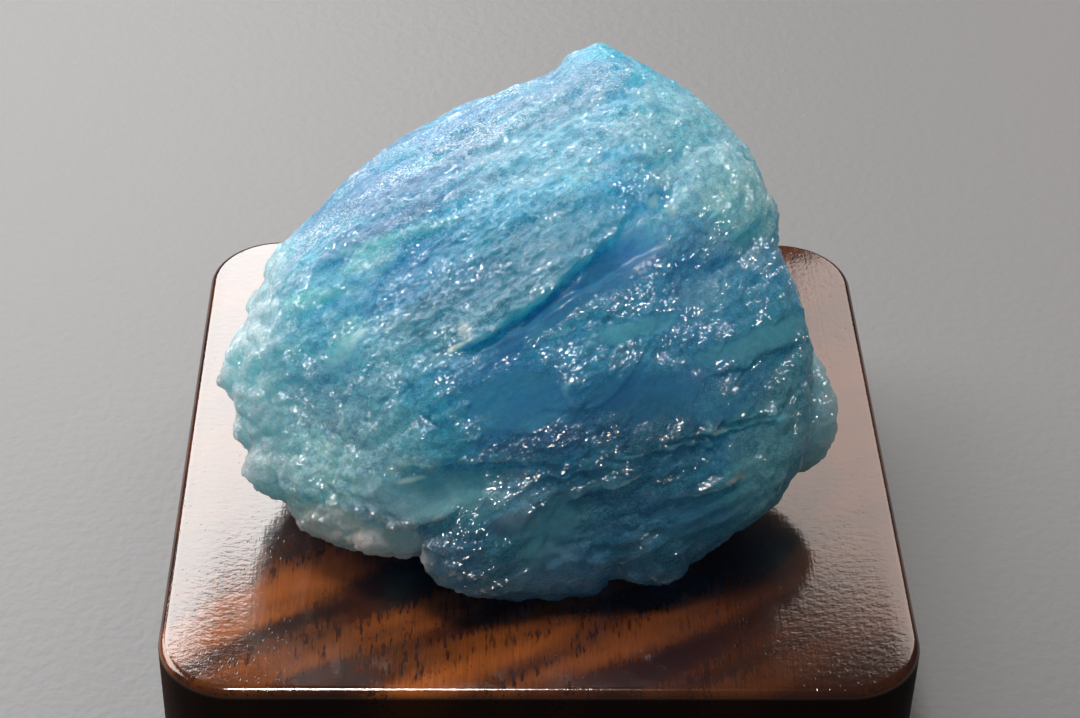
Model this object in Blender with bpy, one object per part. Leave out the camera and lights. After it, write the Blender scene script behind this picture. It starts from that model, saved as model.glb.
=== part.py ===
"""Rough aquamarine crystal resting on its square wooden display stand.

Two loose pieces, +Z up, with the origin at the centre of the stand's underside:
  wood_stand   one block of timber with rounded corners and eased edges
  aquamarine   one etched fragment of a large crystal, standing on its own lumps

The stone is one closed surface around its centre, so each direction from there has one
distance to the surface.  That distance starts from the stone's outline and thickness.  Broad
faces flatten it, and then ledges, hollows, lumps and etching raise or lower it.  All of these
are placed in the stone's own axes: `across` is its X, `rise` (Y) runs up its leaning broad
face, and `out` (Z) points straight out of that face.  Lengths are millimetres until the
meshes are made.
"""

import math

import bmesh
import bpy
import numpy as np
from mathutils import Vector, noise

MM = 0.001

# The display stand: a square block, its four upright corners rounded.
STAND_SIDE = 90.0
STAND_HEIGHT = 20.0
STAND_CORNER_RADIUS = 9.5
STAND_CORNER_STEPS = 9
STAND_EDGE_RADIUS = 1.2
STAND_EDGE_STEPS = 4

# The stone: its centre, how far its broad face leans back from upright, and its thickness.
STONE_CENTRE = (-2.6, -11.2, STAND_HEIGHT + 26.0)
FACE_LEAN = math.radians(52.0)
FRONT_DEPTH = 21.5
BACK_DEPTH = 35.0
SECTION_POWER = 2.2
STONE_POINTS = 4300

# The stone's outline seen square to its broad face: (across, rise), anticlockwise from the right.
OUTLINE = (
    (35.0, -3.0), (33.9, 2.8), (31.6, 8.6), (30.2, 12.0), (30.0, 15.7), (28.6, 20.0), (25.7, 24.0),
    (22.6, 27.0), (17.4, 30.6), (12.2, 33.2), (9.2, 33.8), (6.0, 32.9), (3.5, 31.0), (-2.7, 28.6),
    (-10.4, 24.5), (-16.8, 20.2), (-23.0, 14.3), (-29.3, 8.4), (-30.2, 5.8), (-32.0, 1.4),
    (-34.6, -2.6), (-35.0, -5.6), (-33.4, -9.0), (-33.2, -12.4), (-32.0, -13.9), (-32.6, -16.6),
    (-31.4, -18.6), (-28.0, -20.3), (-26.2, -23.3), (-20.7, -25.8), (-15.1, -25.4), (-11.1, -26.4),
    (-9.2, -29.4), (-5.8, -30.9), (-0.3, -31.7), (5.0, -31.8), (9.6, -30.8), (11.6, -28.4),
    (13.6, -28.6), (17.2, -28.8), (23.1, -25.2), (30.0, -20.5), (33.6, -15.0), (34.6, -9.0),
)

# Broad faces that flatten the stone: the normal as (across, rise, out), and how far out it lies.
FACES = (
    ((-0.25, 0.45, 0.86), 20.5),
    ((0.02, -0.55, 0.83), 21.5),
    ((-0.50, -0.35, 0.79), 23.5),
    ((0.50, 0.05, 0.86), 22.0),
    ((0.10, 0.55, -0.83), 32.0),
    ((-0.55, 0.15, -0.82), 30.5),
    ((0.55, -0.05, -0.83), 31.5),
)
FACE_SHARPNESS = 14.0

# Ledges: a line of (across, rise) points, read left to right with the raised lip on its upper
# side, then the drop, how far the lip's swell reaches up, and how far the shelf reaches down.
# The sign says which side of the stone it crosses: +1 the broad face, -1 the back.
LEDGES = (
    (((-10.5, -3.6), (-6.4, -1.8), (-2.6, 0.2), (2.2, 3.6), (7.8, 9.7), (10.5, 12.7), (14.0, 15.0)),
     2.6, 7.0, 6.0, +1),
    (((-14.5, -14.0), (-9.0, -14.5), (-2.4, -14.3), (4.0, -14.0)), 1.2, 5.0, 4.0, +1),
    (((5.0, -14.6), (10.0, -13.5), (17.0, -13.4), (22.0, -12.7), (26.0, -11.6), (31.0, -8.0)),
     1.3, 3.5, 3.0, +1),
    (((4.5, -19.8), (9.0, -18.4), (12.9, -17.0), (16.5, -16.0)), 1.1, 3.0, 3.0, +1),
    (((16.0, -19.4), (20.4, -19.5), (23.0, -18.0), (27.5, -16.5)), 1.0, 3.0, 3.0, +1),
    (((-21.5, -21.0), (-17.2, -22.3), (-13.0, -21.6), (-9.1, -20.1), (-6.5, -18.6)), 1.8, 4.0, 3.0, +1),
    (((17.5, -3.4), (23.5, -0.6), (31.0, 3.6)), 1.3, 3.0, 3.5, +1),
    (((-25.5, 1.2), (-20.3, 4.3), (-15.0, 8.0), (-8.7, 13.2)), 1.0, 4.0, 4.0, +1),
    (((15.0, 9.5), (21.5, 11.2), (27.5, 12.0)), 1.2, 4.0, 3.0, +1),
    (((-24.0, -3.0), (-12.0, 4.0), (2.0, 9.0), (18.0, 15.0)), 2.0, 7.0, 6.0, -1),
    (((-14.0, -15.0), (0.0, -9.0), (16.0, -6.0), (27.0, 2.0)), 1.6, 6.0, 5.0, -1),
    (((-20.0, 8.0), (-8.0, 16.0), (6.0, 22.0)), 1.4, 5.0, 5.0, -1),
)
LEDGE_EDGE_WIDTH = 1.8
LEDGE_END_FADE = 0.25
LIP_SHARE = 0.6
SIDE_BLEND = 6.0

# Smooth shell-shaped hollows on the broad face: centre (across, rise), half length, half width,
# the angle of the length above `across` in degrees, and the depth.
HOLLOWS = (
    ((8.5, 4.6), 11.0, 3.6, 43.0, 2.0),
    ((-0.5, -7.5), 7.0, 4.5, 15.0, 1.2),
    ((11.0, -9.3), 7.5, 4.0, 12.0, 1.1),
    ((-9.0, -17.6), 6.5, 2.2, 8.0, 1.0),
    ((20.0, 5.5), 6.0, 3.5, 25.0, 0.8),
    ((-17.5, 3.0), 6.5, 2.6, 30.0, 0.7),
)

# Lumps and clear knobs: the way to the lump as (across, rise, out), its radius and its height.
LUMPS = (
    ((39.0, -10.0, -13.0), 8.5, 5.8),
    ((24.0, 16.0, 11.0), 6.5, 1.8),
    ((-4.5, -25.0, 9.0), 7.5, 1.8),
    ((15.5, -28.0, 2.0), 4.5, 1.2),
    ((-32.0, 3.6, 2.5), 2.7, 1.7),
    ((-33.0, -1.4, 4.0), 2.6, 1.2),
    ((-34.5, -5.4, 1.0), 2.8, 1.3),
    ((-33.0, -8.6, 5.0), 2.4, 1.0),
    ((-33.4, -11.4, 0.0), 2.3, 1.2),
    ((-32.0, -17.0, 1.0), 3.4, 1.5),
    ((-27.5, -19.0, 6.0), 3.0, 1.0),
    ((-15.0, -24.5, 5.0), 3.6, 1.4),
    ((30.2, 14.0, 5.0), 3.0, 1.0),
    ((8.5, 33.5, 3.0), 3.4, 0.8),
    ((3.0, -12.0, 17.0), 3.4, 0.9),
    ((-8.0, -5.5, 18.0), 3.0, 0.7),
    ((-22.0, -6.0, -22.0), 9.0, 2.4),
    ((10.0, 14.0, -27.0), 10.0, 2.2),
    ((20.0, -12.0, -20.0), 8.0, 2.0),
)

# The crystal's grain runs this far above `across`.  Etching follows it in shallow steps, over
# broad swells, and both grow calmer towards the rim.  Each noise has its own place to start.
GRAIN_ANGLE = math.radians(31.0)
GRAIN_STRETCH = 3.2
SWELL_SIZE = 15.0
SWELL_HEIGHT = 1.7
SWELL_START = (3.1, 7.7, 1.3)
STEP_SIZE = 6.5
STEP_HEIGHT = 0.9
STEP_START = (11.2, 4.6, 8.9)
STEPS_PER_SWELL = 2.4
STEP_RISER = (0.3, 0.7)
RIM_CALM = 0.2
RIM_BAND = (0.1, 0.45)

# The underside rests on scattered low points, this far above the wood.
REST_GAP = 0.35
UNDERSIDE_LUMP_SIZE = 8.0
UNDERSIDE_LUMP_HEIGHT = 1.8
UNDERSIDE_START = (5.5, 2.2, 9.1)

# Colours and finish.
AQUAMARINE_COLOUR = (0.13, 0.42, 0.56)
AQUAMARINE_ROUGHNESS = 0.25
AQUAMARINE_TRANSMISSION = 0.6
AQUAMARINE_IOR = 1.57
WOOD_COLOUR = (0.26, 0.085, 0.03)
WOOD_ROUGHNESS = 0.22
CREASE_ANGLE = math.radians(32.0)


def smooth_step(low, high, value):
    """Rise smoothly from 0 at low to 1 at high."""
    t = np.clip((value - low) / (high - low), 0.0, 1.0)
    return t * t * (3.0 - 2.0 * t)


def noise_at(points, size, start):
    """Blender's smooth noise, about -1 to 1, with lumps of the given size."""
    return np.array([noise.noise(Vector(point) / size + Vector(start)) for point in points])


def even_directions(count):
    """Directions spread evenly over the sphere on a golden-angle spiral."""
    step = np.arange(count) + 0.5
    out = 1.0 - 2.0 * step / count
    turn = step * math.pi * (3.0 - math.sqrt(5.0))
    ring = np.sqrt(1.0 - out * out)
    return np.stack([ring * np.cos(turn), ring * np.sin(turn), out], axis=1)


def body_distance(directions):
    """Distance to the stone's plain body: its outline, thickness and broad faces."""
    across, rise, out = directions.T
    corners = np.array(OUTLINE)
    corner_angles = np.arctan2(corners[:, 1], corners[:, 0])
    corner_radii = np.hypot(corners[:, 0], corners[:, 1])
    radius = np.interp(np.arctan2(rise, across), corner_angles, corner_radii, period=2.0 * math.pi)
    depth = np.where(out > 0.0, FRONT_DEPTH, BACK_DEPTH)
    section = (np.hypot(across, rise) / radius) ** SECTION_POWER + (np.abs(out) / depth) ** SECTION_POWER
    nearness = section ** (FACE_SHARPNESS / SECTION_POWER)
    for normal, reach in FACES:
        facing = np.clip(directions @ (np.array(normal) / np.linalg.norm(normal)), 0.0, None)
        nearness += (facing / reach) ** FACE_SHARPNESS
    return nearness ** (-1.0 / FACE_SHARPNESS)


def ledge_relief(points, line, drop, reach_up, reach_down, side):
    """Height of one ledge: a lip that swells up to its line, and a shelf let in below it."""
    line = np.array(line)
    place = points[:, :2]
    nearest = np.full(len(points), np.inf)
    offset = np.zeros(len(points))
    along = np.zeros(len(points))
    lengths = np.linalg.norm(np.diff(line, axis=0), axis=1)
    starts = np.concatenate([[0.0], np.cumsum(lengths)])
    for start, end, length, start_length in zip(line[:-1], line[1:], lengths, starts):
        way = (end - start) / length
        travel = np.clip((place - start) @ way, 0.0, length)
        gap = place - start - travel[:, None] * way
        distance = np.linalg.norm(gap, axis=1)
        above = np.sign(way[0] * gap[:, 1] - way[1] * gap[:, 0])
        closer = distance < nearest
        nearest = np.where(closer, distance, nearest)
        offset = np.where(closer, distance * above, offset)
        along = np.where(closer, (start_length + travel) / starts[-1], along)
    strength = smooth_step(0.0, LEDGE_END_FADE, along) * smooth_step(1.0, 1.0 - LEDGE_END_FADE, along)
    strength *= smooth_step(0.0, SIDE_BLEND, side * points[:, 2])
    above_line = smooth_step(-LEDGE_EDGE_WIDTH, LEDGE_EDGE_WIDTH, offset)
    lip = above_line * np.exp(-np.clip(offset, 0.0, None) / reach_up)
    shelf = (1.0 - above_line) * np.exp(np.clip(offset, None, 0.0) / reach_down)
    return drop * strength * (LIP_SHARE * lip - (1.0 - LIP_SHARE) * shelf)


def hollow_relief(points, centre, half_length, half_width, turn, depth):
    """Depth of one shell-shaped hollow on the broad face."""
    turn = math.radians(turn)
    place = points[:, :2] - np.array(centre)
    lengthwise = place @ np.array([math.cos(turn), math.sin(turn)]) / half_length
    widthwise = place @ np.array([-math.sin(turn), math.cos(turn)]) / half_width
    bowl = np.clip(1.0 - lengthwise ** 2 - widthwise ** 2, 0.0, None)
    return -depth * bowl * smooth_step(0.0, SIDE_BLEND, points[:, 2])


def lump_relief(directions, distance, way, radius, height):
    """Height of one lump or knob: a round cap on the surface."""
    way = np.array(way) / np.linalg.norm(way)
    spread = np.arccos(np.clip(directions @ way, -1.0, 1.0)) * distance / radius
    return height * np.sqrt(np.clip(1.0 - spread ** 2, 0.0, None))


def grain_place(points):
    """The points with the grain's length drawn in, so that noise runs along the grain."""
    along = points @ np.array([math.cos(GRAIN_ANGLE), math.sin(GRAIN_ANGLE), 0.0])
    over = points @ np.array([-math.sin(GRAIN_ANGLE), math.cos(GRAIN_ANGLE), 0.0])
    return np.stack([along / GRAIN_STRETCH, over, points[:, 2]], axis=1)


def etching_relief(points, out):
    """Broad swells and the stepped etching that follows the grain, calmer at the rim."""
    drawn = grain_place(points)
    calm = RIM_CALM + (1.0 - RIM_CALM) * smooth_step(*RIM_BAND, np.abs(out))
    swell = noise_at(points, SWELL_SIZE, SWELL_START)
    level = STEPS_PER_SWELL * noise_at(drawn, STEP_SIZE, STEP_START)
    terrace = np.floor(level) + smooth_step(*STEP_RISER, level - np.floor(level))
    return calm * (SWELL_HEIGHT * swell + STEP_HEIGHT * terrace)


def keep_off_the_stand(points):
    """Lift whatever would reach the wood, leaving low lumps for the stone to stand on."""
    lift = math.sin(FACE_LEAN) * points[:, 1] + math.cos(FACE_LEAN) * points[:, 2]
    height = STONE_CENTRE[2] - STAND_HEIGHT + lift
    lumps = noise_at(points, UNDERSIDE_LUMP_SIZE, UNDERSIDE_START)
    lowest = REST_GAP + UNDERSIDE_LUMP_HEIGHT * np.clip(lumps, 0.0, None)
    reach = STONE_CENTRE[2] - STAND_HEIGHT - lowest
    scale = np.where(height < lowest, reach / np.maximum(-lift, 1.0), 1.0)
    return points * scale[:, None]


def stone_points():
    """Every point of the stone's surface, in its own axes and in millimetres."""
    directions = even_directions(STONE_POINTS)
    distance = body_distance(directions)
    body = directions * distance[:, None]
    relief = etching_relief(body, directions[:, 2])
    for line, drop, reach_up, reach_down, side in LEDGES:
        relief += ledge_relief(body, line, drop, reach_up, reach_down, side)
    for centre, half_length, half_width, turn, depth in HOLLOWS:
        relief += hollow_relief(body, centre, half_length, half_width, turn, depth)
    for way, radius, height in LUMPS:
        relief += lump_relief(directions, distance, way, radius, height)
    return directions, keep_off_the_stand(directions * (distance + relief)[:, None])


def make_material(name, colour, roughness, transmission=0.0, ior=1.5):
    """A Principled material in the piece's own colour."""
    material = bpy.data.materials.new(name)
    material.use_nodes = True
    shader = material.node_tree.nodes["Principled BSDF"]
    shader.inputs["Base Color"].default_value = (*colour, 1.0)
    shader.inputs["Roughness"].default_value = roughness
    shader.inputs["Metallic"].default_value = 0.0
    shader.inputs["Transmission Weight"].default_value = transmission
    shader.inputs["IOR"].default_value = ior
    material.diffuse_color = (*colour, 1.0)
    return material


def add_object(name, mesh, material):
    """Put a mesh in the scene as a named object with its material."""
    mesh.materials.append(material)
    piece = bpy.data.objects.new(name, mesh)
    bpy.context.scene.collection.objects.link(piece)
    return piece


def make_stand():
    """The wooden block: a rounded square raised to its height, its edges eased."""
    bm = bmesh.new()
    inset = STAND_SIDE / 2.0 - STAND_CORNER_RADIUS
    plan = []
    for quarter, (side_x, side_y) in enumerate(((1, 1), (-1, 1), (-1, -1), (1, -1))):
        for step in range(STAND_CORNER_STEPS + 1):
            angle = math.radians(90.0 * (quarter + step / STAND_CORNER_STEPS))
            x = side_x * inset + STAND_CORNER_RADIUS * math.cos(angle)
            y = side_y * inset + STAND_CORNER_RADIUS * math.sin(angle)
            plan.append(bm.verts.new((x * MM, y * MM, 0.0)))
    base = bm.faces.new(plan)
    raised = bmesh.ops.extrude_face_region(bm, geom=[base])["geom"]
    top = [vert for vert in raised if isinstance(vert, bmesh.types.BMVert)]
    bmesh.ops.translate(bm, verts=top, vec=(0.0, 0.0, STAND_HEIGHT * MM))
    bmesh.ops.recalc_face_normals(bm, faces=bm.faces)
    mesh = bpy.data.meshes.new("wood_stand")
    bm.to_mesh(mesh)
    bm.free()
    mesh.shade_smooth()
    mesh.set_sharp_from_angle(angle=CREASE_ANGLE)
    stand = add_object("wood_stand", mesh, make_material("lacquered_wood", WOOD_COLOUR, WOOD_ROUGHNESS))
    ease = stand.modifiers.new("eased edges", "BEVEL")
    ease.width = STAND_EDGE_RADIUS * MM
    ease.segments = STAND_EDGE_STEPS
    ease.limit_method = "ANGLE"
    ease.angle_limit = CREASE_ANGLE
    return stand


def make_stone(stand):
    """The aquamarine: the hull of its directions, with each point drawn to the surface."""
    directions, points = stone_points()
    bm = bmesh.new()
    for direction in directions:
        bm.verts.new(direction)
    bmesh.ops.convex_hull(bm, input=bm.verts)
    for vert, point in zip(bm.verts, points):
        vert.co = Vector(point) * MM
    bmesh.ops.recalc_face_normals(bm, faces=bm.faces)
    mesh = bpy.data.meshes.new("aquamarine")
    bm.to_mesh(mesh)
    bm.free()
    mesh.shade_smooth()
    mesh.set_sharp_from_angle(angle=CREASE_ANGLE)
    material = make_material(
        "clear_aquamarine", AQUAMARINE_COLOUR, AQUAMARINE_ROUGHNESS, AQUAMARINE_TRANSMISSION, AQUAMARINE_IOR
    )
    stone = add_object("aquamarine", mesh, material)
    stone.parent = stand
    stone.location = Vector(STONE_CENTRE) * MM
    stone.rotation_euler = (FACE_LEAN, 0.0, 0.0)
    return stone


for old in list(bpy.data.objects):
    bpy.data.objects.remove(old, do_unlink=True)

make_stone(make_stand())
bpy.context.view_layer.update()
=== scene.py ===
import math

import bmesh
import bpy
import numpy as np
from mathutils import Matrix, Vector, noise


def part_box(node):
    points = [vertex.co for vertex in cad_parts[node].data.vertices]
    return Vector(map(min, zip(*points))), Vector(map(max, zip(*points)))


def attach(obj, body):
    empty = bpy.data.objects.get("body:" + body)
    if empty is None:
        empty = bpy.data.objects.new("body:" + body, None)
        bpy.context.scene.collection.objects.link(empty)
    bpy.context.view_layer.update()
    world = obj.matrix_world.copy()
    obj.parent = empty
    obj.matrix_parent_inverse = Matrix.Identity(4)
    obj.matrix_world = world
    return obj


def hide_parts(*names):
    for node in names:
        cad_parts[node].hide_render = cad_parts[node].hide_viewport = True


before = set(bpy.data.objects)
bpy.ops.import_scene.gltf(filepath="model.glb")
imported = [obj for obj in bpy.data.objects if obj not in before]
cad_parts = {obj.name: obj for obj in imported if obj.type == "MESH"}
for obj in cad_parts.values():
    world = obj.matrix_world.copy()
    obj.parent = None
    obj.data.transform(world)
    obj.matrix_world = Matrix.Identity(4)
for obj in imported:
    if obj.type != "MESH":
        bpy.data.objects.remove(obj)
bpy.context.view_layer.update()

MM = 0.001


# ---------------------------------------------------------------------------------------------
# Camera: it looks down on the specimen from in front and close by, through a short telephoto,
# the way a stone on a desk is seen.
# ---------------------------------------------------------------------------------------------
stand_low, stand_high = (Vector(corner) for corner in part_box("wood_stand"))
STAND_TOP = stand_high.z
CAMERA_PLACE = Vector((-0.0079, -0.2431, STAND_TOP + 0.2036))
CAMERA_DOWN = math.radians(38.0)
CAMERA_TURN = math.radians(1.93)
CAMERA_ROLL = math.radians(1.47)

camera = bpy.data.cameras.new("camera")
camera.sensor_width = 36.0
camera.lens = 81.67
camera.clip_start = 0.01
camera_object = bpy.data.objects.new("camera", camera)
bpy.context.scene.collection.objects.link(camera_object)
heading = Matrix.Rotation(-CAMERA_TURN, 4, "Z")
tilt = Matrix.Rotation(math.radians(90.0) - CAMERA_DOWN, 4, "X")
roll = Matrix.Rotation(CAMERA_ROLL, 4, "Z")
camera_object.matrix_world = Matrix.Translation(CAMERA_PLACE) @ heading @ tilt @ roll
bpy.context.scene.camera = camera_object


# ---------------------------------------------------------------------------------------------
# Floor and light: a plain pale card, a small key lamp high over the stone's left front, and three
# broad soft panels low behind it that the lacquer mirrors.
# ---------------------------------------------------------------------------------------------
FLOOR_SIZE = 6.0
FLOOR_GREY = (0.155, 0.160, 0.166, 1.0)
FLOOR_FLECKS_PER_METRE = 700.0
FLOOR_RELIEF = 0.4 * MM
LIGHT_AIM = Vector((0.0, 0.0, STAND_TOP))
PANEL_DISTANCE = 0.90
ROOM_GLOW = 0.07


def add_node(tree, kind, inputs=None, **settings):
    """Add a node to a tree; each input is a value or another node's output."""
    node = tree.nodes.new(kind)
    for name, value in settings.items():
        setattr(node, name, value)
    for name, value in (inputs or {}).items():
        if isinstance(value, bpy.types.NodeSocket):
            tree.links.new(value, node.inputs[name])
        else:
            node.inputs[name].default_value = value
    return node


def new_material(name):
    """An empty material and its Principled shader, the only shader in it."""
    material = bpy.data.materials.new(name)
    material.use_nodes = True
    return material, material.node_tree, material.node_tree.nodes["Principled BSDF"]


def add_piece(name, mesh):
    """Put a finished mesh in the scene, its place already in the mesh."""
    piece = bpy.data.objects.new(name, mesh)
    bpy.context.scene.collection.objects.link(piece)
    return piece


def paint_floor():
    """Plain matte card with a faint tooth."""
    material, tree, shader = new_material("floor_card")
    place = add_node(tree, "ShaderNodeTexCoord").outputs["Object"]
    relief_shade = add_node(tree, "ShaderNodeTexNoise", {"Vector": place, "Scale": FLOOR_FLECKS_PER_METRE,
                                                  "Detail": 3.0}).outputs["Fac"]
    bump = add_node(tree, "ShaderNodeBump", {"Strength": 0.25, "Distance": FLOOR_RELIEF, "Height": relief_shade})
    tree.links.new(bump.outputs["Normal"], shader.inputs["Normal"])
    shader.inputs["Base Color"].default_value = FLOOR_GREY
    shader.inputs["Roughness"].default_value = 0.5
    return material


def lay_floor():
    """One large square at the height of the stand's underside."""
    bm = bmesh.new()
    bmesh.ops.create_grid(bm, x_segments=1, y_segments=1, size=FLOOR_SIZE / 2.0)
    mesh = bpy.data.meshes.new("floor")
    bm.to_mesh(mesh)
    bm.free()
    mesh.materials.append(paint_floor())
    floor = add_piece("floor", mesh)
    floor.location.z = stand_low.z
    return floor


def toward(azimuth, elevation, distance):
    """A place seen from the stone, azimuth counted from straight behind it toward +X, in degrees."""
    azimuth = math.radians(azimuth)
    elevation = math.radians(elevation)
    level = distance * math.cos(elevation)
    offset = (level * math.sin(azimuth), level * math.cos(azimuth), distance * math.sin(elevation))
    return LIGHT_AIM + Vector(offset)


def hang_light(name, place, width, height, watts, colour):
    """A soft rectangular lamp, turned to the stone, that the camera doesn't see."""
    light = bpy.data.lights.new(name, "AREA")
    light.shape = "RECTANGLE"
    light.size = width
    light.size_y = height
    light.energy = watts
    light.color = colour
    lamp = bpy.data.objects.new(name, light)
    bpy.context.scene.collection.objects.link(lamp)
    lamp.location = place
    lamp.rotation_euler = (LIGHT_AIM - place).to_track_quat("-Z", "Y").to_euler()
    lamp.visible_camera = False


def light_room():
    """A faint even glow from all around, and few bounces, as soft light needs no more."""
    world = bpy.data.worlds.new("studio")
    world.use_nodes = True
    world.node_tree.nodes["Background"].inputs["Color"].default_value = (0.95, 0.97, 1.0, 1.0)
    world.node_tree.nodes["Background"].inputs["Strength"].default_value = ROOM_GLOW
    bpy.context.scene.world = world
    bpy.context.scene.view_settings.view_transform = "Standard"
    cycles = bpy.context.scene.cycles
    cycles.use_light_tree = False
    cycles.max_bounces = 5
    cycles.diffuse_bounces = 2
    cycles.glossy_bounces = 2
    cycles.transmission_bounces = 4


lay_floor()
hang_light("key_lamp", toward(-150.0, 78.0, 0.70), 0.14, 0.14, 3.3, (1.0, 0.97, 0.93))
hang_light("back_panel", toward(-19.0, 34.5, PANEL_DISTANCE), 0.56, 0.42, 6.6, (1.0, 0.97, 0.95))
hang_light("left_panel", toward(-65.0, 33.0, PANEL_DISTANCE), 0.60, 0.50, 6.8, (1.0, 0.96, 0.92))
hang_light("side_panel", toward(30.0, 33.0, PANEL_DISTANCE), 0.46, 0.42, 2.0, (1.0, 0.87, 0.80))
light_room()


# ---------------------------------------------------------------------------------------------
# Wooden stand: one square block of open-pored red-brown timber, its corners rounded and its
# edges eased, finished with thin gloss lacquer that sinks into the pores.
# ---------------------------------------------------------------------------------------------
STAND_CORNER_RADIUS = 9.5 * MM
STAND_EDGE_RADIUS = 1.2 * MM
CORNER_STEPS = 24
EDGE_STEPS = 8
# Sizes of the wood's figure in millimetres across, along and down through the grain.
FIBRE_SIZE = (0.26, 9.0, 0.26)
DASH_SIZE = (0.45, 2.4, 0.45)
RIBBON_SIZE = (44.0, 7.5, 30.0)
RIBBON_TURN = -30.0
RIBBON_FEATHER = 0.40
# A pool of painted light on the figure near the front left, where the light falls: its size and centre.
LIGHT_POOL_SIZE = (30.0, 20.0, 30.0)
LIGHT_POOL_CENTRE = (-0.45, -1.8, 0.6)
CLOUD_SIZE = (22.0, 40.0, 22.0)
PORE_SIZE = (0.45, 1.2, 0.45)
PORE_CROWD_SIZE = (7.0, 9.0, 7.0)
LACQUER_DIMPLE_SIZE = (1.1, 0.8, 0.95)
LACQUER_BRUSH_SIZE = (0.40, 22.0, 0.40)
LACQUER_RELIEF = 0.022 * MM
# Where the sides below the eased top edge turn near-black, as painted shade.
SIDE_SHADE_START = 0.5 * MM
SIDE_SHADE_END = 1.3 * MM
DARK_WOOD = (0.026, 0.0065, 0.0025, 1.0)
ORANGE_WOOD = (0.32, 0.084, 0.012, 1.0)
PORE_BLACK = (0.008, 0.003, 0.002, 1.0)
SIDE_PAINTED_SHADE = (0.006, 0.003, 0.002, 1.0)


def stand_ring(inset, height):
    """One level outline of the stand, drawn in by inset from its full size."""
    radius = STAND_CORNER_RADIUS - inset
    ring = []
    for quarter, (side_x, side_y) in enumerate(((1, 1), (-1, 1), (-1, -1), (1, -1))):
        centre_x = side_x * (stand_high.x - STAND_CORNER_RADIUS)
        centre_y = side_y * (stand_high.y - STAND_CORNER_RADIUS)
        for step in range(CORNER_STEPS + 1):
            angle = math.radians(90.0 * (quarter + step / CORNER_STEPS))
            ring.append((centre_x + radius * math.cos(angle), centre_y + radius * math.sin(angle), height))
    return ring


def shape_stand():
    """Rings from the underside up over both eased edges, closed by the two flat faces."""
    lower_edge = []
    upper_edge = []
    for step in range(EDGE_STEPS + 1):
        angle = math.radians(90.0 * step / EDGE_STEPS)
        by_sine = STAND_EDGE_RADIUS * (1.0 - math.sin(angle))
        by_cosine = STAND_EDGE_RADIUS * (1.0 - math.cos(angle))
        lower_edge.append(stand_ring(by_sine, stand_low.z + by_cosine))
        upper_edge.append(stand_ring(by_cosine, stand_high.z - by_sine))
    bm = bmesh.new()
    loops = [[bm.verts.new(point) for point in ring] for ring in lower_edge + upper_edge]
    count = len(loops[0])
    for lower, upper in zip(loops, loops[1:]):
        for i in range(count):
            j = (i + 1) % count
            bm.faces.new((lower[i], lower[j], upper[j], upper[i]))
    bm.faces.new(loops[-1])
    bm.faces.new(reversed(loops[0]))
    mesh = bpy.data.meshes.new("wood_block")
    bm.to_mesh(mesh)
    bm.free()
    mesh.shade_smooth()
    mesh.set_sharp_from_angle(angle=math.radians(40.0))
    return mesh


def tree_of(*values):
    """The node tree that the first socket among the values belongs to."""
    return next(value.id_data for value in values if isinstance(value, bpy.types.NodeSocket))


def math_of(operation, first, second=0.0):
    """One sum on two numbers, either of them a socket."""
    tree = tree_of(first, second)
    return add_node(tree, "ShaderNodeMath", {0: first, 1: second}, operation=operation).outputs[0]


def times(first, second):
    """The product of two numbers."""
    return math_of("MULTIPLY", first, second)


def plus(first, second):
    """The sum of two numbers."""
    return math_of("ADD", first, second)


def minus(first, second):
    """The first number less the second."""
    return math_of("SUBTRACT", first, second)


def vector_of(operation, first, second=(0.0, 0.0, 0.0)):
    """One sum on two vectors, either of them a socket."""
    tree = tree_of(first, second)
    return add_node(tree, "ShaderNodeVectorMath", {0: first, 1: second}, operation=operation).outputs[0]


def part_of(vector, axis):
    """The vector's own X, Y or Z."""
    return add_node(tree_of(vector), "ShaderNodeSeparateXYZ", {"Vector": vector}).outputs[axis]


def turned(vector, angle, axis):
    """The vector turned by an angle about one axis."""
    return add_node(tree_of(vector), "ShaderNodeVectorRotate", {"Vector": vector, "Angle": angle},
                    rotation_type=axis + "_AXIS").outputs[0]


def ramp(value, low, high, curve="LINEAR"):
    """A value's rise from 0 at low to 1 at high."""
    return add_node(tree_of(value), "ShaderNodeMapRange", {"Value": value, "From Min": low, "From Max": high},
                    interpolation_type=curve).outputs["Result"]


def soft_ramp(value, low, high):
    """The same rise with eased ends."""
    return ramp(value, low, high, "SMOOTHSTEP")


def noise_of(vector, detail=2.0, roughness=0.5, **settings):
    """Smooth noise, one lump to a unit."""
    inputs = {"Vector": vector, "Scale": 1.0, "Detail": detail, "Roughness": roughness}
    return add_node(tree_of(vector), "ShaderNodeTexNoise", inputs, **settings).outputs["Fac"]


def cells_of(vector, randomness=1.0):
    """Random cells, about one to a unit: the outputs Distance, Color and Position."""
    inputs = {"Vector": vector, "Scale": 1.0, "Randomness": randomness}
    return add_node(tree_of(vector), "ShaderNodeTexVoronoi", inputs).outputs


def mix(factor, first, second, **settings):
    """A colour between two colours."""
    return add_node(tree_of(factor, first, second), "ShaderNodeMix", {"Factor": factor, 6: first, 7: second},
                    data_type="RGBA", **settings).outputs[2]


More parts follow.
